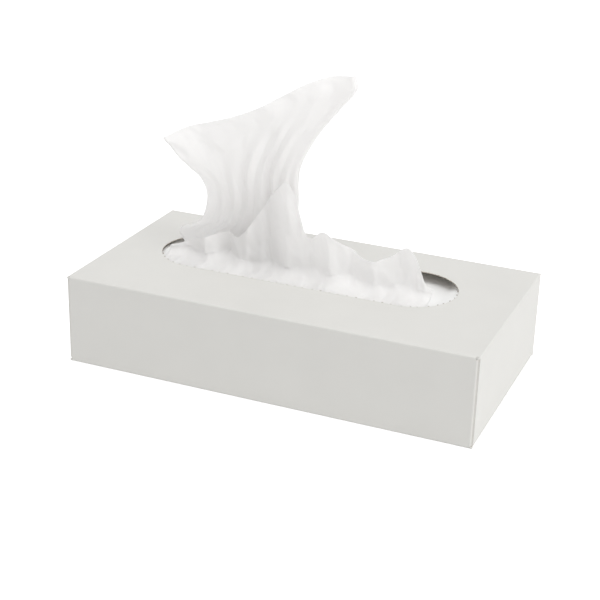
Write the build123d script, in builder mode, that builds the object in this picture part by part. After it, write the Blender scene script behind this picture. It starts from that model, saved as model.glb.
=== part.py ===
from build123d import *
import os

# Flat tissue box: a folded and glued board carton with an oval slot, its stack of
# interfolded tissues, and the two top sheets that stand out of the slot.
# All lengths are millimetres. The origin is at the centre of the carton's underside,
# +Z is up, +X runs along the length, and -Y is the long side that faces the viewer.

# Carton, outside
carton_length = 240.0
carton_width = 126.0
carton_height = 52.0

# Board and its folds
board = 0.5
fold_inner_radius = 0.4
fold_radius = fold_inner_radius + board
fold_run = 3.0

# End flaps and glue lap, as cut from the blank
flap_relief = 0.3
flap_edge_gap = 0.8
dust_flap_length = 45.0
dust_flap_taper = 6.0
glue_lap_height = 16.0
glue_lap_end_gap = 4.0
rear_edge_gap = 0.4

# Slot in the top panel
slot_length = 180.0
slot_width = 53.0
slot_x = -4.0
slot_y = 8.0
cut_overrun = 1.0

# Stack of interfolded sheets, and the room that the carton leaves round it
stack_end_gap = 12.0
stack_side_gap = 9.0
stack_top_gap = 6.0
stack_side_bulge = 1.5
stack_edge_radius = 3.0

# Sheets that stand out of the slot
sheet_thickness = 0.5
seat_clearance = 0.3
pulled_height = 120.5
pleat_depth = 4.0
fold_round = 1.5
tuft_height = 60.0
tuft_fold_depth = 3.0

# Sizes and places that several pieces share
sheet_width = carton_length - 2 * board - 2 * stack_end_gap
stack_depth = carton_width - 2 * board - 2 * stack_side_gap
stack_height = carton_height - 2 * board - stack_top_gap
stack_top = board + stack_height
outer_flap_face = carton_length / 2
inner_flap_face = outer_flap_face - board
dust_flap_face = inner_flap_face - board
sleeve_end = dust_flap_face - fold_radius
flap_side_gap = fold_radius + flap_relief
major_flap_width = carton_width - 2 * flap_side_gap

# The pulled sheet, level by level from the stack up. Each level gives the sheet's left
# edge, its standing fold at the right and its back edge, as (x, y, z): x and y are
# shares of the slot's half sizes and z of the pulled height.
pulled_level_shares = (
    ((-0.86, 0.15, 0.00), (0.01, 0.23, 0.00), (-0.71, 0.66, 0.00)),
    ((-0.85, 0.20, 0.11), (-0.04, 0.19, 0.11), (-0.68, 0.64, 0.10)),
    ((-0.73, 0.15, 0.22), (-0.08, 0.11, 0.25), (-0.64, 0.64, 0.22)),
    ((-0.71, 0.00, 0.36), (-0.08, 0.04, 0.42), (-0.62, 0.68, 0.35)),
    ((-0.74, -0.19, 0.44), (-0.06, 0.00, 0.59), (-0.60, 0.83, 0.45)),
    ((-0.82, -0.45, 0.53), (0.10, 0.04, 0.77), (-0.56, 1.02, 0.55)),
    ((-0.91, -0.60, 0.63), (0.26, 0.08, 1.00), (-0.48, 1.13, 0.65)),
)
steps_between_levels = 2
top_pleat_share = 0.2
# Columns of the pulled sheet: (way from its edge to the fold, pleat towards the viewer)
front_column_shares = ((0.0, 0.0), (0.22, 0.9), (0.45, -0.8), (0.68, 0.8))
back_column_shares = ((0.6, 0.8), (0.3, -0.8), (0.0, 0.0))

# Levels of the gathered part of the next sheet, from the stack up: (y of the slot's
# half width, height of the tallest tuft, depth of the folds)
tuft_level_shares = (
    (-0.36, 0.00, 0.6),
    (-0.30, 0.17, 1.0),
    (-0.24, 0.55, 1.0),
    (-0.20, 1.05, 0.6),
)
# Folds of the tufts at even steps from left to right, towards the viewer
tuft_fold_shares = (0.0, 0.5, -0.4, 0.8, -0.7, 0.9, -0.8, 0.8, -0.5, 0.4, -0.7, 0.9, 0.0)
tuft_span_shares = (-0.93, 0.86)
apron_front_share = -1.15
# Free edge of the next sheet, from left to right, as (x, height): shares of the slot's
# half length and of the tallest tuft
tuft_outline_shares = (
    *((-0.95, 0.12), (-0.73, 0.29), (-0.60, 0.36), (-0.51, 0.39), (-0.46, 0.33)),
    *((-0.37, 0.49), (-0.25, 0.80), (-0.12, 1.00), (-0.05, 0.84), (-0.01, 0.50)),
    *((0.04, 0.44), (0.14, 0.59), (0.27, 0.47), (0.40, 0.31), (0.49, 0.29)),
    *((0.59, 0.43), (0.69, 0.55), (0.77, 0.46), (0.82, 0.22), (0.88, 0.12)),
)


def folded_strip(plane, corners, side, amount):
    """Extrudes a board strip both ways; its outer side follows corners, folds rounded."""
    with BuildSketch(plane) as section:
        with BuildLine():
            outline = FilletPolyline(*corners, radius=fold_radius)
            offset(outline, amount=board, side=side, mode=Mode.ADD)
        make_face()
    return extrude(section.sketch, amount=amount, both=True)


def slot_point(x_share, y_share, height):
    """A point at a height over the stack; x and y are shares of the slot's half sizes."""
    return Vector(
        slot_x + x_share * slot_length / 2,
        slot_y + y_share * slot_width / 2,
        stack_top + seat_clearance + height,
    )


def sheet_section(plane, points):
    """A thin section of a creased sheet: its inner side runs through points, in plane."""
    inner = [Vector(*point) for point in points]
    outer = []
    for before, point, after in zip([inner[0], *inner], inner, [*inner[1:], inner[-1]]):
        along = (after - before).normalized()
        outer.append(point + Vector(along.Y, -along.X) * sheet_thickness)
    with BuildSketch(plane) as section:
        with BuildLine():
            Polyline(*inner, *reversed(outer), close=True)
        make_face()
    return section.sketch


def eased(places):
    """Places along a smooth curve through the given ones, at even steps between them."""
    last = len(places) - 1
    curve = Edge.make_spline(places, parameters=[index / last for index in range(last + 1)])
    steps = last * steps_between_levels
    return [
        curve.position_at(step / steps, position_mode=PositionMode.PARAMETER)
        for step in range(steps + 1)
    ]


def pulled_section(left, fold, back, pleat_share):
    """A level of the pulled sheet: front pleats, round the standing fold, back pleats."""
    level = Plane(origin=left, x_dir=fold - left, z_dir=(fold - left).cross(back - left))
    fold = level.to_local_coords(fold)
    back = level.to_local_coords(back)
    ripple = Vector(0, -pleat_share * pleat_depth)
    front_side = fold - fold.normalized() * fold_round - Vector(0, fold_round)
    back_side = fold + (back - fold).normalized() * fold_round + Vector(0, fold_round)
    points = [fold * way + ripple * pleat for way, pleat in front_column_shares]
    points += [front_side, fold, back_side]
    points += [back + (fold - back) * way + ripple * pleat for way, pleat in back_column_shares]
    return sheet_section(level, points)


def tuft_points(y_share, depth_share):
    """Points along the next sheet's folds at one level, as (x, y)."""
    left_share, right_share = tuft_span_shares
    points = []
    for index, fold_share in enumerate(tuft_fold_shares):
        way = index / (len(tuft_fold_shares) - 1)
        place = slot_point(left_share + (right_share - left_share) * way, y_share, 0)
        points.append((place.X, place.Y - fold_share * depth_share * tuft_fold_depth))
    return points


# Dust flap: the front panel turned in across the right end, its free corners tapered
with BuildPart() as dust_flap:
    with BuildSketch(Plane.XY.offset(flap_side_gap)):
        with BuildLine():
            turned_in = FilletPolyline(
                (sleeve_end - fold_run, -carton_width / 2),
                (dust_flap_face, -carton_width / 2),
                (dust_flap_face, dust_flap_length - carton_width / 2),
                radius=fold_radius,
            )
            offset(turned_in, amount=board, side=Side.LEFT, mode=Mode.ADD)
        make_face()
    extrude(amount=carton_height - 2 * flap_side_gap)
    free_corners = dust_flap.edges().filter_by(Axis.X).group_by(Axis.Y)[-1]
    chamfer(free_corners, length=dust_flap_taper)

# Major flaps of the right end: the bottom panel's lies under the top panel's
with BuildPart() as inner_flap:
    folded_strip(
        Plane.XZ,
        [
            (sleeve_end - fold_run, 0),
            (inner_flap_face, 0),
            (inner_flap_face, carton_height - board - flap_edge_gap),
        ],
        Side.LEFT,
        major_flap_width / 2,
    )

with BuildPart() as outer_flap:
    folded_strip(
        Plane.XZ,
        [
            (sleeve_end - fold_run, carton_height),
            (outer_flap_face, carton_height),
            (outer_flap_face, fold_radius + flap_edge_gap),
        ],
        Side.RIGHT,
        major_flap_width / 2,
    )

# Carton: one die-cut blank, folded into a sleeve and closed by glued flaps at both ends
with BuildPart() as carton:
    # Sleeve: rear, top, front and bottom panels
    folded_strip(
        Plane.YZ,
        [
            (carton_width / 2, rear_edge_gap),
            (carton_width / 2, carton_height),
            (-carton_width / 2, carton_height),
            (-carton_width / 2, 0),
            (carton_width / 2 - board - fold_run, 0),
        ],
        Side.LEFT,
        sleeve_end,
    )
    # Glue lap: the bottom panel's edge, folded up inside the rear panel
    folded_strip(
        Plane.YZ,
        [
            (carton_width / 2 - board - 2 * fold_run, 0),
            (carton_width / 2 - board, 0),
            (carton_width / 2 - board, glue_lap_height),
        ],
        Side.LEFT,
        sleeve_end - glue_lap_end_gap,
    )
    # Both ends
    add(dust_flap.part)
    mirror(dust_flap.part, about=Plane.XZ)
    add(inner_flap.part)
    add(outer_flap.part)
    mirror(about=Plane.YZ)
    # Slot, torn out of the top panel
    with BuildSketch(Plane.XY.offset(carton_height + cut_overrun)):
        with Locations((slot_x, slot_y)):
            SlotOverall(slot_length, slot_width)
    extrude(amount=-board - 2 * cut_overrun, mode=Mode.SUBTRACT)
carton.part.label = "carton"

# Tissue stack: interfolded sheets, one soft block with rounded fold sides
with BuildPart() as tissue_stack:
    with BuildSketch(Plane.YZ):
        with BuildLine():
            half_depth = stack_depth / 2
            Polyline((half_depth, board), (-half_depth, board))
            ThreePointArc(
                (-half_depth, board),
                (-half_depth - stack_side_bulge, board + stack_height / 2),
                (-half_depth, stack_top),
            )
            Polyline((-half_depth, stack_top), (half_depth, stack_top))
            ThreePointArc(
                (half_depth, stack_top),
                (half_depth + stack_side_bulge, board + stack_height / 2),
                (half_depth, board),
            )
        make_face()
    extrude(amount=sheet_width / 2, both=True)
    fillet(tissue_stack.faces().sort_by(Axis.Z)[-1].edges(), radius=stack_edge_radius)
tissue_stack.part.label = "tissue_stack"

# Pulled sheet: pleated where it leaves the stack, folded upright, fanned out at the top
edges = [
    eased([slot_point(x, y, z * pulled_height) for x, y, z in edge])
    for edge in zip(*pulled_level_shares)
]
with BuildPart() as pulled_sheet:
    sections = []
    for step, (left, fold, back) in enumerate(zip(*edges)):
        way = step / (len(edges[0]) - 1)
        pleat_share = 1 - way + way * top_pleat_share
        sections.append(pulled_section(left, fold, back, pleat_share))
    loft(sections, ruled=True)
pulled_sheet.part.label = "pulled_sheet"

# Next sheet: drawn up by the pulled one, lying on the stack and gathered into tufts
with BuildPart() as next_sheet:
    # Tufts
    levels = []
    for y_share, height_share, depth_share in tuft_level_shares:
        level = Plane.XY.offset(slot_point(0, 0, height_share * tuft_height).Z)
        levels.append(sheet_section(level, tuft_points(y_share, depth_share)))
    loft(levels)
    # Apron, from under the front panel to the foot of the tufts
    foot_y_share, foot_height_share, foot_depth_share = tuft_level_shares[0]
    with BuildSketch(Plane.XY.offset(stack_top + seat_clearance)):
        with BuildLine():
            foot = Spline(*tuft_points(foot_y_share, foot_depth_share))
            front_y = slot_point(0, apron_front_share, 0).Y
            Polyline(foot @ 1, ((foot @ 1).X, front_y), ((foot @ 0).X, front_y), foot @ 0)
        make_face()
    extrude(amount=sheet_thickness)
    # Free edge, cut to the tufts' outline
    with BuildSketch(Plane.XZ):
        with BuildLine():
            outline = [
                slot_point(x_share, 0, height_share * tuft_height)
                for x_share, height_share in tuft_outline_shares
            ]
            free_edge = Spline(*[(point.X, point.Z) for point in outline])
            over_tufts = stack_top + 2 * tuft_height
            corners = [(point.X, over_tufts) for point in (outline[-1], outline[0])]
            Polyline(free_edge @ 1, *corners, free_edge @ 0)
        make_face()
    extrude(amount=slot_width, both=True, mode=Mode.SUBTRACT)
next_sheet.part.label = "next_sheet"

os.makedirs("parts", exist_ok=True)
for piece in (carton, tissue_stack, pulled_sheet, next_sheet):
    export_step(piece.part, f"parts/{piece.part.label}.step")
    print(piece.part.label, round(piece.part.volume), piece.part.bounding_box())
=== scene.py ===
# %% [markdown]
# A tissue box: a flat white board carton with an oval slot, one tissue pulled up out of
# it, and the next one drawn up and gathered in front. The carton's shape comes ready
# made, so this lesson is about thin soft sheets, about light that passes through them,
# and about white things on white.

# %% Load the carton and note its size
import math

import bpy
import numpy as np
from mathutils import Matrix, Vector, noise


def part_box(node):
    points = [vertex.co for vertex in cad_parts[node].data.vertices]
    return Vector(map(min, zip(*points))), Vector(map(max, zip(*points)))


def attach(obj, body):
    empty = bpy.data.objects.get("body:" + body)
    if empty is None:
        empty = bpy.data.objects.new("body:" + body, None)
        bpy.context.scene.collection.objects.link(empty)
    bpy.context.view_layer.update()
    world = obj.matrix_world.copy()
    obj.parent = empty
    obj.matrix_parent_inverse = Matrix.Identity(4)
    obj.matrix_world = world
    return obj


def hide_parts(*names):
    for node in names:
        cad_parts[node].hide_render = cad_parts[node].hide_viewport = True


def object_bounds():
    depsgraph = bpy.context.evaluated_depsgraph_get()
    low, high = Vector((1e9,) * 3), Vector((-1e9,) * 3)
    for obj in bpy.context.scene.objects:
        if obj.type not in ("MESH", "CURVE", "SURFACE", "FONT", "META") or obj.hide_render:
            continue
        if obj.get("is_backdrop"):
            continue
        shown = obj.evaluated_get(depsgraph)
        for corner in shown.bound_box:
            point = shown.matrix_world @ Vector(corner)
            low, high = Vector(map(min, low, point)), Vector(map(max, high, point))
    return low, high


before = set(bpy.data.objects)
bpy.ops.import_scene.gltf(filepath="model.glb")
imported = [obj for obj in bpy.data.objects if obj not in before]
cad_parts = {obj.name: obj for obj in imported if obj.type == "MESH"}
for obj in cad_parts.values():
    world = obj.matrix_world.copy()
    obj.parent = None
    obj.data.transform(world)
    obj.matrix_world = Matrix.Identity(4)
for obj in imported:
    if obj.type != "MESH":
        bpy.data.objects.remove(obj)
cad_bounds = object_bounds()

MM = 0.001
carton_low, carton_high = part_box("carton")
carton_size = carton_high - carton_low
carton_centre = (carton_low + carton_high) / 2
stack_low, stack_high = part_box("tissue_stack")
print("carton, in mm:", [round(size / MM, 1) for size in carton_size])

# %% [markdown]
# The camera stands in front of the box, a little to its right and above it, as a person
# at a table would. Its place, its direction and its lens follow from the carton's seven
# visible corners, so that the box fills the picture as it does in the photograph.

# %% Camera
camera_place = Vector((274.1, -673.3, 348.2)) * MM
camera_azimuth = math.radians(-22.45)
camera_elevation = math.radians(23.22)
camera_roll = math.radians(1.59)
camera_lens = 82.85

look = Vector((
    math.sin(camera_azimuth) * math.cos(camera_elevation),
    math.cos(camera_azimuth) * math.cos(camera_elevation),
    -math.sin(camera_elevation),
))
upright = look.to_track_quat("-Z", "Y").to_matrix().to_4x4()
turn = Matrix.Rotation(-camera_roll, 4, look) @ upright
bpy.ops.object.camera_add()
camera = bpy.context.object
camera.name = "camera"
camera.data.lens = camera_lens
camera.matrix_world = Matrix.Translation(camera_place) @ turn
bpy.context.scene.camera = camera
print("camera, distance to the box in mm:", round(camera_place.length / MM))

# %% [markdown]
# Colours are written as sRGB hex values, as a colour picker shows them. Shaders work in
# linear light, so one function turns the first into the second. Another adds a node to a
# material with its settings and its links, so that a material reads as a short list.

# %% Colours and nodes
def linear(hex_colour):
    """A linear RGBA colour from sRGB hex such as f0efec."""
    channels = [int(hex_colour[place : place + 2], 16) / 255 for place in (0, 2, 4)]
    return [
        *(c / 12.92 if c <= 0.04045 else ((c + 0.055) / 1.055) ** 2.4 for c in channels), 1.0
    ]


def add_node(tree, kind, settings=(), **inputs):
    """Adds a node with its own settings, and with values or links at its inputs.

    An input goes by its label, with _ for a space, or by n and its number. It takes a
    value, a socket to link, or a node, which stands for its first output.
    """
    node = tree.nodes.new(kind)
    for name, value in dict(settings).items():
        setattr(node, name, value)
    for name, value in inputs.items():
        numbered = name[0] == "n" and name[1:].isdigit()
        key = int(name[1:]) if numbered else name.replace("_", " ")
        if isinstance(value, bpy.types.Node):
            value = value.outputs[0]
        if isinstance(value, bpy.types.NodeSocket):
            tree.links.new(value, node.inputs[key])
        else:
            node.inputs[key].default_value = value
    return node


def new_material(name):
    """An empty node material, its tree and its output node."""
    material = bpy.data.materials.new(name)
    material.use_nodes = True
    material.node_tree.nodes.clear()
    output = material.node_tree.nodes.new("ShaderNodeOutputMaterial")
    return material, material.node_tree, output


print("mid grey 808080 is linear", round(linear("808080")[0], 3))

# %% [markdown]
# The carton is folding boxboard: pulp with a white clay coating on one side, under a
# matt varnish, and bare warm grey pulp on the other side. A cut edge shows pulp too, but
# paler, as the knife leaves it clean. These could be three materials on chosen faces.
# But the carton is one folded sheet of loose triangles, so it is simpler to let one
# material ask at each point where it lies and which way it faces. It is coated where it
# faces outwards and lies no deeper than the flaps that fold over each other, bare where
# it faces inwards, and cut elsewhere.

# %% Coated, bare and cut sides of the board
coated_depths = (1.3 * MM, 0.7 * MM, 0.7 * MM)
facing_limit = 0.3


def board_sides(tree, coordinates):
    """1 on the coated faces of the carton, else 0, and 1 on its cut edges, else 0."""
    middle = add_node(
        tree, "ShaderNodeMapping", Vector=coordinates.outputs["Object"], Location=-carton_centre
    )
    place = add_node(tree, "ShaderNodeSeparateXYZ", Vector=middle)
    normal = add_node(tree, "ShaderNodeSeparateXYZ", Vector=coordinates.outputs["Normal"])
    coated = bare = 0.0
    for axis, reach, depth in zip("XYZ", carton_size / 2, coated_depths):
        away = add_node(tree, "ShaderNodeMath", {"operation": "ABSOLUTE"}, n0=place.outputs[axis])
        side = add_node(tree, "ShaderNodeMath", {"operation": "SIGN"}, n0=place.outputs[axis])
        outermost = add_node(
            tree, "ShaderNodeMath", {"operation": "GREATER_THAN"}, n0=away, n1=reach - depth
        )
        outwards = add_node(
            tree, "ShaderNodeMath", {"operation": "MULTIPLY"}, n0=side, n1=normal.outputs[axis]
        )
        facing_out = add_node(
            tree, "ShaderNodeMath", {"operation": "GREATER_THAN"}, n0=outwards, n1=facing_limit
        )
        facing_in = add_node(
            tree, "ShaderNodeMath", {"operation": "LESS_THAN"}, n0=outwards, n1=-facing_limit
        )
        panel = add_node(
            tree, "ShaderNodeMath", {"operation": "MULTIPLY"}, n0=outermost, n1=facing_out
        )
        coated = add_node(tree, "ShaderNodeMath", {"operation": "MAXIMUM"}, n0=coated, n1=panel)
        bare = add_node(tree, "ShaderNodeMath", {"operation": "MAXIMUM"}, n0=bare, n1=facing_in)
    either = add_node(tree, "ShaderNodeMath", {"operation": "MAXIMUM"}, n0=coated, n1=bare)
    return coated, add_node(tree, "ShaderNodeMath", {"operation": "SUBTRACT"}, n0=1.0, n1=either)


print("the coating reaches in, in mm:", [round(depth / MM, 2) for depth in coated_depths])

# %% [markdown]
# The coating is smooth but not flat. Pressed fibres leave a very fine unevenness, which
# gives a soft sheen without a clear reflection, and clouds of slightly different white.
# Bare and cut pulp is rough and mottled at the size of a fibre.

# %% Boxboard
fibre_size = 0.35 * MM
fibre_relief = 0.02 * MM
cloud_size = 22 * MM
coating_colours = ("d8d7d3", "dddcd8")
pulp_colours = ("c3bcb1", "d3ccc2")
cut_colours = ("d9d7d2", "dedcd8")
coating_roughness = 0.48
pulp_roughness = 0.95


def make_boxboard():
    material, tree, output = new_material("clay_coated_boxboard")
    coordinates = add_node(tree, "ShaderNodeTexCoord")
    place = coordinates.outputs["Object"]
    coated, cut = board_sides(tree, coordinates)
    clouds = add_node(tree, "ShaderNodeTexNoise", Vector=place, Scale=1 / cloud_size, Detail=3.0)
    fibres = add_node(tree, "ShaderNodeTexNoise", Vector=place, Scale=1 / fibre_size, Detail=2.0)
    coating, pulp, cut_pulp = (
        add_node(
            tree, "ShaderNodeMix", {"data_type": "RGBA"},
            n0=pattern.outputs["Fac"], n6=linear(first), n7=linear(second),
        ).outputs[2]
        for pattern, (first, second) in (
            (clouds, coating_colours), (fibres, pulp_colours), (fibres, cut_colours)
        )
    )
    uncoated = add_node(tree, "ShaderNodeMix", {"data_type": "RGBA"}, n0=cut, n6=pulp, n7=cut_pulp)
    colour = add_node(
        tree, "ShaderNodeMix", {"data_type": "RGBA"},
        n0=coated, n6=uncoated.outputs[2], n7=coating,
    )
    roughness = add_node(
        tree, "ShaderNodeMapRange", Value=coated, n3=pulp_roughness, n4=coating_roughness
    )
    relief = add_node(
        tree, "ShaderNodeBump",
        Height=fibres.outputs["Fac"], Strength=0.35, Distance=fibre_relief,
    )
    shader = add_node(
        tree, "ShaderNodeBsdfPrincipled",
        Base_Color=colour.outputs[2], Roughness=roughness, IOR=1.5, Normal=relief,
    )
    tree.links.new(shader.outputs[0], output.inputs["Surface"])
    return material


boxboard = make_boxboard()
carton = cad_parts["carton"]
for board_slot in carton.material_slots:
    board_slot.material = boxboard
print(boxboard.name, "nodes:", len(boxboard.node_tree.nodes))

# %% [markdown]
# Two kinds of small piece come in rows of copies. One of each is modelled from a block,
# and its copies are placed, each with a mesh of its own, and joined as one piece.

# %% Blocks, and copies of a piece
def new_block(size, place=(0, 0, 0)):
    """A block of a size, centred on a place."""
    bpy.ops.object.select_all(action="DESELECT")
    bpy.ops.mesh.primitive_cube_add(size=1, location=place)
    block = bpy.context.object
    block.scale = size
    bpy.ops.object.transform_apply(location=False, rotation=False, scale=True)
    return block


def join_copies(name, original, placings):
    """One piece of copies of an original, one to each matrix, in place of the original."""
    copies = []
    for placing in placings:
        copy = original.copy()
        copy.data = original.data.copy()
        bpy.context.collection.objects.link(copy)
        copy.matrix_world = placing
        copies.append(copy)
    bpy.data.objects.remove(original)
    bpy.ops.object.select_all(action="DESELECT")
    for copy in copies:
        copy.select_set(True)
    bpy.context.view_layer.objects.active = copies[0]
    bpy.ops.object.join()
    joined = bpy.context.object
    joined.name = name
    bpy.ops.object.transform_apply(location=True, rotation=True, scale=True)
    print(name, "copies:", len(copies), "faces:", len(joined.data.polygons))
    return joined


print("nodes of the CAD model:", sorted(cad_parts))

# %% [markdown]
# The slot was closed by a perforated oval that the user tears out. Each bridge of the
# perforation leaves a small torn nib of bare pulp on the rim. The rim's own edge could be
# roughened, but the carton's mesh stays as it came, so the nibs are pieces of their own:
# small blocks whose tips are drawn in, set round the rim at even steps, each a little
# longer or shorter than the next and sunk half into the board.

# %% The slot's rim, and one nib
board_thickness = 0.5 * MM
slot_middle = Vector((-4.0, 8.0)) * MM
slot_half = Vector((90.0, 26.5)) * MM
nib_size = Vector((1.5, 1.4, 0.42)) * MM
nib_tip_shares = (0.45, 1, 0.7)


def rim_place(distance):
    """A place on the slot's rim, and the angle of the way out of the slot there."""
    straight = 2 * (slot_half.x - slot_half.y)
    turn = math.pi * slot_half.y
    side, distance = divmod(distance, straight + turn)
    sign = -1 if side % 2 else 1
    if distance < straight:
        offset = Vector((distance - straight / 2, -slot_half.y))
        angle = -math.pi / 2
    else:
        angle = -math.pi / 2 + (distance - straight) / slot_half.y
        outwards = Vector((math.cos(angle), math.sin(angle)))
        offset = Vector((straight / 2, 0)) + slot_half.y * outwards
    return slot_middle + sign * offset, angle + (0 if sign > 0 else math.pi)


def make_nib():
    nib = new_block(nib_size)
    bpy.ops.object.mode_set(mode="EDIT")
    bpy.ops.mesh.select_all(action="DESELECT")
    bpy.ops.mesh.select_mode(type="FACE")
    bpy.ops.object.mode_set(mode="OBJECT")
    for face in nib.data.polygons:
        face.select = round(face.normal.y) == 1
    bpy.ops.object.mode_set(mode="EDIT")
    bpy.ops.transform.resize(value=nib_tip_shares)
    bpy.ops.object.mode_set(mode="OBJECT")
    return nib


perimeter = 4 * (slot_half.x - slot_half.y) + 2 * math.pi * slot_half.y
print("the slot's rim, in mm:", round(perimeter / MM, 1))

# %% [markdown]
# Torn pulp is darker than a cut edge. Its colour is partly the pulp's own and partly painted
# shade, darkened for the shade its rough fibres cast on each other. Length and place of a
# nib drift by smooth chance along the rim, as a tear does.

# %% Torn nibs round the slot
nib_spacing = 5.2 * MM
length_spread, length_drift = 0.7, 0.73
place_spread, place_drift = 0.4, 0.61
# painted shade: the torn nibs' colours are darker than the pulp's own, for the shade of their
# fibres
torn_pulp_shade_colours = ("8b8379", "aaa297")


# the torn edge's material, with painted shade in its colour
def make_shaded_pulp_edge():
    material, tree, output = new_material("torn_board_edge_painted_shade")
    place = add_node(tree, "ShaderNodeTexCoord").outputs["Object"]
    fibres = add_node(tree, "ShaderNodeTexNoise", Vector=place, Scale=1 / fibre_size, Detail=2.0)
    dark, light = map(linear, torn_pulp_shade_colours)
    colour = add_node(
        tree, "ShaderNodeMix", {"data_type": "RGBA"}, n0=fibres.outputs["Fac"], n6=dark, n7=light
    )
    shader = add_node(
        tree, "ShaderNodeBsdfPrincipled", Base_Color=colour.outputs[2], Roughness=pulp_roughness
    )
    tree.links.new(shader.outputs[0], output.inputs["Surface"])
    return material


nib_count = round(perimeter / nib_spacing)
nib_placings = []
for count in range(nib_count):
    length = 1 + length_spread * noise.noise(Vector((count * length_drift, 0, 0)))
    step = count + place_spread * noise.noise(Vector((0, count * place_drift, 0)))
    place, angle = rim_place(step / nib_count * perimeter)
    tip_inwards = angle + math.pi / 2
    nib_placings.append(
        Matrix.Translation((place.x, place.y, carton_high.z - board_thickness / 2))
        @ Matrix.Rotation(tip_inwards, 4, "Z")
        @ Matrix.Diagonal((length, length, 1, 1))
    )
slot_nibs = join_copies("slot_nibs", make_nib(), nib_placings)
slot_nibs.data.materials.append(make_shaded_pulp_edge())
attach(slot_nibs, "root")

# %% [markdown]
# Where three folds meet at a corner of the carton, the blank leaves a notch of about a
# millimetre. On the real box the board is pressed together there and hides it. A curved
# patch could close each notch exactly, but at this size a small rounded block of the
# same board looks the same, and it is solid. One stands in each of the eight corners.

# %% Pressed board in the corners
web_size = Vector((1.75, 1.1, 1.1)) * MM
web_gap = 0.08 * MM
web_round = 0.42 * MM
web_reach = (carton_size - web_size) / 2 - Vector((1, 1, 1)) * web_gap

web = new_block(web_size)
bpy.ops.object.mode_set(mode="EDIT")
bpy.ops.mesh.select_all(action="SELECT")
bpy.ops.mesh.bevel(offset=web_round, segments=3)
bpy.ops.object.mode_set(mode="OBJECT")
web_placings = [
    Matrix.Translation(carton_centre + Vector((x * web_reach.x, y * web_reach.y, z * web_reach.z)))
    for z in (-1, 1) for y in (-1, 1) for x in (-1, 1)
]
corner_webs = join_copies("corner_webs", web, web_placings)
bpy.ops.object.shade_smooth()
corner_webs.data.materials.append(boxboard)
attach(corner_webs, "root")

# %% [markdown]
# Facial tissue is two plies of soft creped paper, each about 15 g per square metre. Some
# of the light goes through it, so a fold glows instead of throwing a hard shadow. Light
# scattered below the surface could show that, but a sheet this thin has no depth for it,
# so the shader is a rough diffuse white mixed with a translucent one. A sheet lets about
# a third of the light through. It has two faces here, and half the light passes each of
# them, which comes to the same. The stack is thick and lets nothing through, so it has
# the same paper without the second shader. The creping is a fine ripple, about four
# ridges to a millimetre, drawn at two to a millimetre so that a close view shows it, and
# the fibres lie in soft clumps a few millimetres wide.

# %% Tissue paper
crepe_spacing = 0.5 * MM
clump_spacing = 2.4 * MM
clump_weight = 2.0
crepe_relief = 0.06 * MM
tissue_colour = "fbfbfa"
glow_colour = "fdfcfc"
glow_share = 0.5


def make_tissue(name, translucent_share):
    material, tree, output = new_material(name)
    place = add_node(tree, "ShaderNodeTexCoord").outputs["Object"]
    crepe = add_node(
        tree, "ShaderNodeTexNoise", Vector=place, Scale=1 / crepe_spacing, Detail=2.0
    ).outputs["Fac"]
    clumps = add_node(
        tree, "ShaderNodeTexNoise", Vector=place, Scale=1 / clump_spacing, Detail=3.0
    ).outputs["Fac"]
    height = add_node(
        tree, "ShaderNodeMath", {"operation": "MULTIPLY_ADD"}, n0=clumps, n1=clump_weight, n2=crepe
    )
    relief = add_node(tree, "ShaderNodeBump", Height=height, Strength=0.5, Distance=crepe_relief)
    surface = add_node(
        tree, "ShaderNodeBsdfPrincipled",
        Base_Color=linear(tissue_colour), Roughness=0.92, IOR=1.45, Specular_IOR_Level=0.2,
        Sheen_Weight=0.3, Sheen_Roughness=0.6, Normal=relief,
    )
    if translucent_share:
        glow = add_node(tree, "ShaderNodeBsdfTranslucent", Color=linear(glow_colour))
        surface = add_node(
            tree, "ShaderNodeMixShader", n0=translucent_share, n1=surface, n2=glow
        )
    tree.links.new(surface.outputs[0], output.inputs["Surface"])
    return material


loose_tissue = make_tissue("two_ply_tissue_paper", glow_share)
stacked_tissue = make_tissue("stacked_tissue_paper", 0)
for tissue in (loose_tissue, stacked_tissue):
    print(tissue.name, "nodes:", len(tissue.node_tree.nodes))

# %% [markdown]
# Both loose sheets could be dropped and draped by a cloth simulation, but their outlines
# would then fall by chance and not where the photograph has them. So each starts as a
# flat grid, whose points are moved to where the paper goes. A few places are given, as
# shares of the slot's half sizes, and smooth curves through them give the rest.

# %% Places over the slot, and curves through chosen ones
sheet_gap = 0.3 * MM
seat = stack_high.z + sheet_gap


def over_slot(shares, tallest):
    """Points in metres from (x, y, z) shares of the slot's half sizes and of a height."""
    return np.stack([
        slot_middle.x + shares[:, 0] * slot_half.x,
        slot_middle.y + shares[:, 1] * slot_half.y,
        shares[:, 2] * tallest,
    ], axis=1)


def through(keys, way):
    """Values on a smooth curve through evenly spaced keys, where way runs from 0 to 1."""
    keys = np.asarray(keys, float)
    keys = keys.reshape(len(keys), -1)
    last = len(keys) - 1
    place = np.clip(way, 0, 1) * last
    start = np.clip(place.astype(int), 0, last - 1)
    part = (place - start)[:, None]
    wide = np.vstack([2 * keys[:1] - keys[1:2], keys, 2 * keys[-1:] - keys[-2:-1]])
    before, here, there, after = (wide[start + step] for step in range(4))
    return 0.5 * (
        2 * here
        + (there - before) * part
        + (2 * before - 5 * here + 4 * there - after) * part**2
        + (3 * here - before - 3 * there + after) * part**3
    )


def ramp(value, start, end):
    """Rises smoothly from 0 at start to 1 at end."""
    part = np.clip((value - start) / (end - start), 0, 1)
    return part * part * (3 - 2 * part)


def at_least(share, way):
    """Goes from a share, where way is 0, to 1, where way is 1."""
    return share + (1 - share) * way


print("the sheets rest at, in mm:", round(seat / MM, 2))

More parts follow.
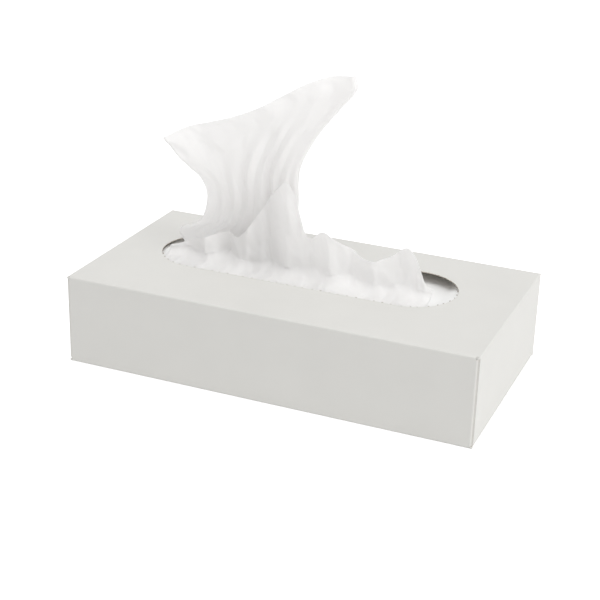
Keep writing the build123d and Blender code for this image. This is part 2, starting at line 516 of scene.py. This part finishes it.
# %% [markdown]
# The paper's own character comes on top of those curves. Where a sheet is bunched it
# lies in pleats with straight flanks, and sharp creases run along them. Paper that has
# been handled also keeps small flat facets, each tilted its own way. Each of the three
# is a function of two ways across the sheet, so it is the same on every run. A factor
# before a way says how often the pattern changes along it, and a seed picks another part
# of the same endless pattern.

# %% Folds of crumpled paper
pleat_sharpness = 0.94
hollow_depth = 4.4
crest_round = 0.0015
facet_sharpness = 14
facet_step = 0.25
facet_scatter = 57


def crease_wave(turns):
    """A wave of depth 1 with nearly straight flanks and rounded creases."""
    wave = np.sin(2 * math.pi * turns)
    return np.arcsin(pleat_sharpness * wave) / math.asin(pleat_sharpness)


def drifting(first, second, seed):
    """Smooth chance values, about -0.5 to 0.5."""
    return np.array([noise.noise(Vector((a, b, seed))) for a, b in zip(first, second)])


def creases(first, second, seed):
    """Sharp crests between soft hollows, about -1 to 1, one or two to each step of 1."""
    return 1 - hollow_depth * np.sqrt(drifting(first, second, seed) ** 2 + crest_round)


def facets(first, second, size, seed):
    """Heights of flat facets of about a size, tilted by chance and joined by soft edges."""
    heights = []
    for a, b in zip(first / size, second / size):
        spot = Vector((a, b, seed))
        distances, centres = noise.voronoi(spot)
        total = weight_sum = 0
        for distance, centre in zip(distances, centres):
            weight = math.exp(-facet_sharpness * (distance - distances[0]))
            tilt = noise.cell_vector(centre * facet_scatter)
            total += weight * (tilt.dot(spot - centre) + facet_step * tilt.z)
            weight_sum += weight
        heights.append(total / weight_sum)
    return np.array(heights) * size


steps = np.linspace(0, 2, 6)
print("creases at six places:", creases(steps, 0 * steps, 4.1).round(2))

# %% [markdown]
# A sheet starts as one grid, fine enough for creases a millimetre apart, and ends as a
# thin closed solid. A real two-ply tissue is about 0.1 mm thick. This one is drawn a
# little thicker, so that its two faces stay apart in the sharpest folds.

# %% A grid for a sheet, and its finish
sheet_thickness = 0.16 * MM


def new_grid(name, columns, rows):
    """A square grid of points, and the points' ways across and up, from 0 to 1."""
    bpy.ops.object.select_all(action="DESELECT")
    bpy.ops.mesh.primitive_grid_add(x_subdivisions=columns, y_subdivisions=rows, size=1)
    piece = bpy.context.object
    piece.name = name
    flat = np.empty(len(piece.data.vertices) * 3)
    piece.data.vertices.foreach_get("co", flat)
    flat = flat.reshape(-1, 3)
    return piece, flat[:, 0] + 0.5, flat[:, 1] + 0.5


def finish_sheet(piece, points, node):
    """Moves the grid's points, gives the sheet its thickness, hangs it on the root and hides the
    CAD node it replaces.
    """
    piece.data.vertices.foreach_set("co", points.ravel())
    piece.data.update()
    solidify = piece.modifiers.new("thickness", "SOLIDIFY")
    solidify.thickness = sheet_thickness
    solidify.offset = 0
    bpy.ops.object.modifier_apply(modifier=solidify.name)
    bpy.ops.object.mode_set(mode="EDIT")
    bpy.ops.mesh.select_all(action="SELECT")
    bpy.ops.mesh.normals_make_consistent(inside=False)
    bpy.ops.object.mode_set(mode="OBJECT")
    bpy.ops.object.shade_smooth()
    piece.data.materials.append(loose_tissue)
    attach(piece, "root")
    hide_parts(node)
    print(piece.name, "faces:", len(piece.data.polygons))


print("a sheet's thickness, in mm:", sheet_thickness / MM)

# %% [markdown]
# The pulled sheet leaves the stack bunched, stands on a fold at its right, and fans out
# at the top to a flag that hangs over to the left and forward. Its back half runs behind
# the front one, so from the left the sheet is an open funnel. Nine levels up the sheet
# say where its left edge, its standing fold and its back edge are, and at the top each
# half's free edge rises and falls by a few millimetres along its way.

# %% Levels of the pulled sheet
pulled_height = 120.5 * MM
pulled_levels = (  # left edge, standing fold, back edge
    ((-0.89, 0.28, 0.00), (0.01, 0.23, 0.00), (-0.71, 0.66, 0.00)),
    ((-0.97, 0.38, 0.09), (-0.04, 0.19, 0.11), (-0.68, 0.64, 0.10)),
    ((-0.78, 0.21, 0.18), (-0.08, 0.12, 0.22), (-0.65, 0.64, 0.20)),
    ((-0.71, 0.05, 0.32), (-0.08, 0.06, 0.36), (-0.62, 0.67, 0.31)),
    ((-0.73, -0.14, 0.42), (-0.07, 0.00, 0.53), (-0.60, 0.80, 0.42)),
    ((-0.78, -0.36, 0.49), (0.03, 0.02, 0.69), (-0.57, 0.94, 0.50)),
    ((-0.84, -0.50, 0.55), (0.17, 0.05, 0.83), (-0.53, 1.05, 0.57)),
    ((-0.89, -0.57, 0.60), (0.275, 0.07, 0.93), (-0.50, 1.10, 0.62)),
    ((-0.93, -0.60, 0.63), (0.265, 0.08, 1.00), (-0.48, 1.13, 0.65)),
)
front_edge_rise = (0.0, 1.8, 0.6, -0.4, 0.0, 2.4, 5.0, 5.0, 1.0)  # mm, towards the fold
back_edge_rise = (0.0, 2.5, -0.5, 1.5, 3.5, 1.0)  # mm, towards the fold
free_edge_reach = (0.45, 1.0)


def pulled_curves(rising):
    """Points on the left edge, the standing fold and the back edge of the pulled sheet."""
    return (
        over_slot(through([level[edge] for level in pulled_levels], rising), pulled_height)
        for edge in range(3)
    )


def pulled_edge_rise(in_front, way, rising):
    """How much higher than its level each point lies, towards the free edge at the top."""
    rise = np.where(
        in_front, through(front_edge_rise, way)[:, 0], through(back_edge_rise, way)[:, 0]
    )
    return rise * MM * ramp(rising, *free_edge_reach)


print("pulled sheet, in mm:", round(pulled_height / MM, 1), "levels:", len(pulled_levels))

# %% [markdown]
# Its folds change on the way up. Deep pleats fill the bunched neck, with sharp creases
# along them that fade out upwards, and long waves take over in the flag. The facets are
# longer up the sheet than across it, as the creases pull them, and the standing fold is
# rounded, so that it does not end in a knife edge.

# %% Folds of the pulled sheet
fold_round = 1.7 * MM
fold_reach = (0.55, 0.95)
neck_pleats = 5.5
neck_pleat_depth = 2.0 * MM
neck_fade = (0.3, 0.8)
crease_depth = 0.72 * MM
flag_wave_depth = 2.1 * MM
flag_rise = (0.35, 0.9)
flag_pleat_share = 0.12
flag_crease_share = 0.25
calm_share = 0.12
behind_seed = 20.0
pulled_flat = (0.215, 0.088)
pulled_facet_sizes = (19 * MM, 8 * MM)
pulled_facet_tilts = (0.08, 0.05)
facet_slant = 0.35


def pulled_facets(across, up):
    """Large slanting facets and small ones, in metres off the plain curve."""
    flat_across = across * pulled_flat[0]
    flat_up = up * pulled_flat[1]
    slanting = flat_across + facet_slant * flat_up
    large = facets(slanting, flat_up / 1.8, pulled_facet_sizes[0], 3.7)
    small = facets(flat_across, flat_up / 1.5, pulled_facet_sizes[1], 9.1)
    return pulled_facet_tilts[0] * large + pulled_facet_tilts[1] * small


def pulled_folds(in_front, way, rising):
    """Pleats, creases and waves of the pulled sheet, in metres off its plain curve."""
    bunched = 1 - ramp(rising, *neck_fade)
    half_seed = np.where(in_front, 0.0, behind_seed)
    drift = 0.22 * drifting(1.8 * way + half_seed, 1.6 * rising, 2.2)
    pleats = crease_wave(neck_pleats * (way + drift + 0.06 * rising))
    pleats *= neck_pleat_depth * at_least(flag_pleat_share, bunched)
    pleats *= 0.65 + 0.9 * drifting(3.1 * way + half_seed, 1.1 * rising, 6.6)
    sharp = creases(5.5 * way + half_seed, 0.9 * rising, 4.1)
    sharp += 0.4 * creases(11 * way + half_seed, 1.5 * rising, 8.3)
    sharp *= crease_depth * at_least(flag_crease_share, bunched)
    flag = drifting(2.2 * way + half_seed + 0.8 * rising, 1.3 * rising, 1.4)
    flag *= 2 * flag_wave_depth * ramp(rising, *flag_rise)
    return pleats + sharp + flag


def standing_fold(way, length):
    """How far the standing fold swells out to its round, in metres."""
    near = np.clip((1 - way) * length / fold_round, 0, 1)
    return np.sqrt(1 - (1 - near) ** 2) * ramp(way, *fold_reach) * fold_round


print("pleats in mm:", neck_pleat_depth / MM, "waves in mm:", flag_wave_depth / MM)

# %% [markdown]
# All of that comes together in one function. It takes each point along the straight way
# from its edge to the standing fold, moves it off that way by the folds, and turns the
# lowest rows out, so that the foot of the sheet lies on the stack.

# %% Pulled sheet
front_share = 0.56
foot_share = 0.07
foot_bend = 2.0 * MM
foot_lengths = (4.5 * MM, 8 * MM)
foot_turn = (0.8, 1.0)
fold_facet_share = 0.4
pulled_grid = (220, 150)


def pulled_points(across, up):
    """Where the pulled sheet's points go, in metres."""
    rising = np.clip((up - foot_share) / (1 - foot_share), 0, 1)
    left, fold, back = pulled_curves(rising)
    in_front = across < front_share
    way = np.where(in_front, across / front_share, (1 - across) / (1 - front_share))
    edge = np.where(in_front[:, None], left, back)
    leg = fold - edge
    length = np.linalg.norm(leg, axis=1)
    away = np.stack([-leg[:, 1], leg[:, 0], 0 * length], axis=1)
    away /= np.linalg.norm(away, axis=1)[:, None]
    side = np.where(in_front, -1.0, 1.0)

    # Off the straight way by the folds, less near the standing fold
    calm = ramp(1 - way, 0.0, calm_share)
    shift = standing_fold(way, length) * side + pulled_folds(in_front, way, rising) * calm
    shift += pulled_facets(across, up) * at_least(fold_facet_share, calm)
    points = edge + leg * way[:, None] + away * shift[:, None]
    points[:, 2] = foot_bend + points[:, 2] * (1 - foot_bend / pulled_height)
    points[:, 2] += pulled_edge_rise(in_front, way, rising)

    # Foot, turned out on the stack
    out = away * side[:, None]
    turn = ramp(way, *foot_turn)[:, None]
    out = out * (1 - turn) + leg / length[:, None] * turn
    reach = np.clip(1 - up / foot_share, 0, 1) * np.where(in_front, *foot_lengths)
    angle = np.minimum(reach / foot_bend, math.pi / 2)
    points += out * (foot_bend * (1 - np.cos(angle)) + reach - angle * foot_bend)[:, None]
    points[:, 2] -= foot_bend * np.sin(angle)
    points[:, 2] = np.maximum(points[:, 2], 0) + seat
    return points


pulled_tissue, across, up = new_grid("pulled_tissue", *pulled_grid)
finish_sheet(pulled_tissue, pulled_points(across, up), "pulled_sheet")

# %% [markdown]
# The next sheet is dragged up by the pulled one. It lies on the stack at the front,
# turns up, and ends in a free edge of soft peaks. The outline of that edge is a list of
# places along the slot and heights, and the turn from lying to standing is a quarter
# circle, which keeps the paper's length.

# %% Edge and bend of the next sheet
tuft_height = 60 * MM
tuft_outline = (  # shares of the slot's half length and of the tuft's height
    *((-0.95, 0.12), (-0.73, 0.29), (-0.60, 0.36), (-0.51, 0.39), (-0.46, 0.33)),
    *((-0.36, 0.49), (-0.24, 0.80), (-0.10, 1.04), (-0.03, 0.88), (0.00, 0.54)),
    *((0.04, 0.44), (0.14, 0.59), (0.27, 0.48), (0.40, 0.37), (0.49, 0.36)),
    *((0.59, 0.43), (0.69, 0.55), (0.77, 0.46), (0.82, 0.22), (0.88, 0.12)),
)
outline_blur = (-0.02, -0.01, 0, 0.01, 0.02)
apron_front = -1.15
tuft_foot = -0.22
apron_rows_share = 0.34
bend_radius = 8.0 * MM
bend_gain = 0.43  # the bend adds this share of its radius to the paper's height
tuft_setback_drop = 0.4 * MM
least_rise_share = 0.35


def free_edge(x_share):
    """How much paper follows the lying part, so that the free edge meets the outline."""
    outline = np.array(tuft_outline)
    blurred = [np.interp(x_share + step, *outline.T) for step in outline_blur]
    peak = np.mean(blurred, axis=0) * tuft_height
    return np.maximum(peak - bend_gain * bend_radius - tuft_setback_drop, least_rise_share * peak)


def lying_to_standing(up, peak):
    """The way up the flat sheet, then the place back, the height and the share of the turn."""
    apron = (tuft_foot - apron_front) * slot_half.y
    lying = np.clip(up / apron_rows_share, 0, 1) * apron
    rising = np.clip((up - apron_rows_share) / (1 - apron_rows_share), 0, 1) * peak
    arc_length = bend_radius * math.pi / 2
    run = lying + rising - (apron - bend_radius)
    arc = np.clip(run / arc_length, 0, 1) * math.pi / 2
    back = np.minimum(run, 0) + bend_radius * np.sin(arc)
    height = bend_radius * (1 - np.cos(arc)) + np.maximum(run - arc_length, 0)
    return lying + rising, back, height, arc / (math.pi / 2)


print("tallest tuft, in mm:", round(max(share for _, share in tuft_outline) * tuft_height / MM, 1))

# %% [markdown]
# Its folds run down from the peaks and spread out over the part that lies flat, where
# they are shallow. There they only lift the paper, so that it stays clear of the stack.
# Just behind the slot's front rim the gathered paper swells up.

# %% Next sheet
tuft_span = (-0.93, 0.86)
tuft_pleats = 6.2
first_pleat = 0.35
lying_pleat_mm, standing_pleat_mm = 0.6, 3.2
lying_crease_mm, standing_crease_mm = 0.3, 0.5
tuft_lean = 4 * MM
tuft_sway = 7 * MM
tuft_sideways = 0.3 * MM
swell_height = 3.6 * MM
swell_rise = (-20 * MM, -12.5 * MM)
swell_fade = 14 * MM
least_lift = 1.1 * MM
next_flat = (0.215, 0.046)
next_facet_sizes = (13 * MM, 6 * MM)
next_facet_tilts = (0.10, 0.05)
next_grid = (260, 90)


def next_folds(across, up, turns, way_up, turned, rise):
    """Pleats, creases and facets of the next sheet, in metres off its plain curve."""
    depth = (lying_pleat_mm + standing_pleat_mm * turned) * MM
    depth *= 0.75 + 0.8 * drifting(5 * across, 0 * up, 7.7)
    shift = crease_wave(turns) * depth
    sharp = creases(11 * across + 1.2 * rise, 1.0 * up, 5.9)
    sharp += 0.4 * creases(23 * across, 1.6 * up, 3.3)
    shift += sharp * (lying_crease_mm + standing_crease_mm * turned) * MM
    flat_across = across * next_flat[0]
    shift += next_facet_tilts[0] * facets(flat_across, way_up / 1.5, next_facet_sizes[0], 5.3)
    shift += next_facet_tilts[1] * facets(flat_across, way_up / 1.3, next_facet_sizes[1], 1.9)
    return shift


def next_points(across, up):
    """Where the next sheet's points go, in metres."""
    drift = 0.012 * drifting(6 * across, 1.5 * up, 2.9)
    x_share = tuft_span[0] + (tuft_span[1] - tuft_span[0]) * across
    way_up, back, height, turned = lying_to_standing(up, free_edge(x_share + drift))
    rise = np.clip(height / tuft_height, 0, 1)
    spread = 0.03 * (1 - turned) * np.sin(9 * across)
    turns = tuft_pleats * (across + drift + spread) + first_pleat
    shift = next_folds(across, up, turns, way_up, turned, rise)
    lean = tuft_sway * rise * drifting(4.2 * across, 0 * up, 8.8) - tuft_lean * rise
    sideways = tuft_sideways * np.sin(4 * math.pi * turns) * turned
    x = slot_middle.x + x_share * slot_half.x + sideways
    y = slot_middle.y + tuft_foot * slot_half.y - bend_radius + back + lean - shift * turned
    lift = np.maximum(shift + least_lift, 0) * (1 - turned)
    swell = swell_height * (0.8 + 0.7 * drifting(7 * across, 0 * up, 4.4))
    swell *= ramp(y, *swell_rise) * (1 - ramp(height, 0, swell_fade))
    return np.stack([x, y, seat + height + lift + swell], axis=1)


next_tissue, across, up = new_grid("next_tissue", *next_grid)
finish_sheet(next_tissue, next_points(across, up), "next_sheet")

# %% [markdown]
# The stack is about a hundred folded sheets. They could be a hundred pieces, but only
# the top shows, through the slot. Its long sides are rounded folds and its ends are cut
# layers, so one block gets thin layers all round. The sheet on top ends in a folded edge
# that runs along the middle, and at both ends of the slot it is puffed up, where the
# next sheet was drawn off.

# %% Stack of folded tissues
layer_count = 30
layer_depth = 0.35 * MM
layer_margin = 0.1 * MM
corner_round = 3.0 * MM
stack_cuts = (90, 36, layer_count * 2)  # along x, y and z
stack_size = stack_high - stack_low
stack_centre = (stack_high + stack_low) / 2


def cut_block():
    """The stack as a rounded block, cut across by even planes along each axis."""
    piece = new_block(stack_size - Vector((2, 2, 0)) * layer_depth, stack_centre)
    piece.name = "folded_tissues"
    bpy.ops.object.transform_apply(location=True, rotation=True, scale=True)
    bpy.ops.object.mode_set(mode="EDIT")
    bpy.ops.mesh.select_all(action="SELECT")
    bpy.ops.mesh.bevel(offset=corner_round, segments=4)
    for axis, count in enumerate(stack_cuts):
        normal = Vector((0, 0, 0))
        normal[axis] = 1
        for step in range(1, count):
            place = stack_low.copy()
            place[axis] += stack_size[axis] * step / count
            bpy.ops.mesh.select_all(action="SELECT")
            bpy.ops.mesh.bisect(plane_co=place, plane_no=normal)
    bpy.ops.object.mode_set(mode="OBJECT")
    return piece


folded_tissues = cut_block()
print(folded_tissues.name, "faces:", len(folded_tissues.data.polygons))

# %% [markdown]
# The cuts give the block rows of points. Those round its sides move in and out as the
# layers do. Those of its top sink a little, drop a step behind the folded edge, and rise
# to the puffs.

# %% Layers round the stack, and its uneven top
top_sag = 0.7 * MM
sag_size = 30 * MM
edge_line = 11 * MM
edge_drop = 0.35 * MM
puffs = (  # height, then where along the stack it rises and falls again
    (4.8 * MM, (73.6 * MM, 84 * MM), (92 * MM, 103 * MM)),
    (4.2 * MM, (-88.8 * MM, -93 * MM), (-96 * MM, -104 * MM)),
)
smooth_limit = math.radians(50)

for vertex in folded_tissues.data.vertices:
    place = vertex.co.copy()
    out = Vector((place.x - stack_centre.x, place.y - stack_centre.y, 0))
    if stack_low.z + layer_margin < place.z < stack_high.z - layer_margin:
        layer = (place.z - stack_low.z) / stack_size.z * layer_count
        vertex.co += out.normalized() * layer_depth * math.sin(2 * math.pi * layer)
    elif place.z > stack_centre.z:
        vertex.co.z -= top_sag * (0.5 + 0.5 * noise.noise(place / sag_size))
        if place.y > edge_line:
            vertex.co.z -= edge_drop
        for height, rise, fall in puffs:
            vertex.co.z += height * ramp(place.x, *rise) * (1 - ramp(place.x, *fall))
bpy.ops.object.shade_smooth_by_angle(angle=smooth_limit)
folded_tissues.data.materials.append(stacked_tissue)
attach(folded_tissues, "root")
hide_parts("tissue_stack")
top = max(vertex.co.z for vertex in folded_tissues.data.vertices)
print("the puffed ends reach above the stack by, in mm:", round((top - stack_high.z) / MM, 2))

# %% [markdown]
# The photograph shows the box alone on white. More lamp light would turn the floor white
# too, but it would wash out the board. So the floor is a pale plane, a little brighter
# to the camera than it is to the lamps: it reads as white and still takes the object's
# shadow. The world does the same behind it.

# %% Floor and surroundings
floor_size = 6.0
floor_colour = "f2f2f2"
floor_lift = 0.44
world_level = 0.625


def seen_directly(tree):
    """1 for camera, glossy and transmission rays, 0 for all that light the object."""
    path = add_node(tree, "ShaderNodeLightPath")
    seen = path.outputs["Is Camera Ray"]
    for kind in ("Is Glossy Ray", "Is Transmission Ray"):
        seen = add_node(
            tree, "ShaderNodeMath", {"operation": "MAXIMUM"}, n0=seen, n1=path.outputs[kind]
        )
    return seen


def make_floor():
    bpy.ops.object.select_all(action="DESELECT")
    bpy.ops.mesh.primitive_plane_add(size=floor_size)
    floor = bpy.context.object
    floor.name = "floor"
    material, tree, output = new_material("white_paper_floor")
    matt = add_node(tree, "ShaderNodeBsdfDiffuse", Color=linear(floor_colour))
    level = add_node(
        tree, "ShaderNodeMath", {"operation": "MULTIPLY"}, n0=seen_directly(tree), n1=floor_lift
    )
    lift = add_node(tree, "ShaderNodeEmission", Strength=level)
    both = add_node(tree, "ShaderNodeAddShader", n0=matt, n1=lift)
    tree.links.new(both.outputs[0], output.inputs["Surface"])
    floor.data.materials.append(material)
    floor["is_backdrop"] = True
    print(floor.name, "material:", material.name)


def make_world():
    world = bpy.data.worlds.new("white_room")
    bpy.context.scene.world = world
    world.use_nodes = True
    tree = world.node_tree
    tree.nodes.clear()
    output = tree.nodes.new("ShaderNodeOutputWorld")
    strength = add_node(
        tree, "ShaderNodeMapRange", Value=seen_directly(tree), n3=world_level, n4=1.0
    )
    sky = add_node(tree, "ShaderNodeBackground", Strength=strength, Color=(1, 1, 1, 1))
    tree.links.new(sky.outputs[0], output.inputs["Surface"])
    print(world.name, "lights at", world_level)


make_floor()
make_world()

# %% [markdown]
# In the photograph the top and the right end are almost equally bright and the long
# front is a step darker. A large soft lamp hangs over the box, a little in front of it,
# so that light also falls into the slot, and a weaker one stands low on the right.

# %% Lamps
lamps = (  # name, place and width in metres, power in watts
    ("top_lamp", (0.20, -0.50, 2.60), 2.0, 26.0),
    ("side_lamp", (2.60, -0.50, 0.90), 1.4, 19.0),
)
for name, place, size, power in lamps:
    place = Vector(place)
    aim = (-place).to_track_quat("-Z", "Y")
    bpy.ops.object.light_add(type="AREA", location=place, rotation=aim.to_euler())
    lamp = bpy.context.object
    lamp.name = name
    lamp.data.shape = "DISK"
    lamp.data.size = size
    lamp.data.energy = power
    print(lamp.name, "power:", power)

scene = bpy.context.scene
scene.view_settings.view_transform = "Standard"

# %% [markdown]
# The box round everything visible is noted next to the one of the CAD model, so that it
# can be checked that the sheets did not grow out of the part's real size.

# %% Note both sizes and finish
visual_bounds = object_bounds()
for name, bounds in (("cad", cad_bounds), ("visual", visual_bounds)):
    print(name, "box, in mm:", [[round(value / MM, 1) for value in corner] for corner in bounds])
